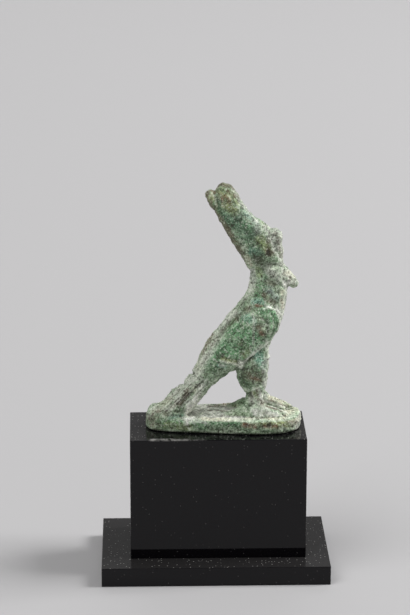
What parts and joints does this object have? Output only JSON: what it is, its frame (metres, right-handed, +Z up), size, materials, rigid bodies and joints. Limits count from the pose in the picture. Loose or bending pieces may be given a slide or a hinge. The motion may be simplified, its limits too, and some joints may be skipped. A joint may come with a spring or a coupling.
{
  "type": "falcon statuette",
  "caption": "Small green-patinated bronze falcon with a tall double crown, cast with its long base, on a stepped black acrylic plinth.",
  "frame": {"origin": "middle of the slab's underside", "axes": "+Z up, +X where the beak points, +Y away from the side shown in the picture"},
  "size_m": [0.058, 0.034, 0.1008],
  "materials": {
    "patinated_bronze": "cast bronze with a granular green and grey-green corrosion patina, pale on worn ridges",
    "black_acrylic": "polished black acrylic sheet with fine dust and light scratches"
  },
  "bodies": {
    "root": {"falcon_statuette": "patinated_bronze", "plinth_block": "black_acrylic", "plinth_slab": "black_acrylic"}
  },
  "joints": []
}
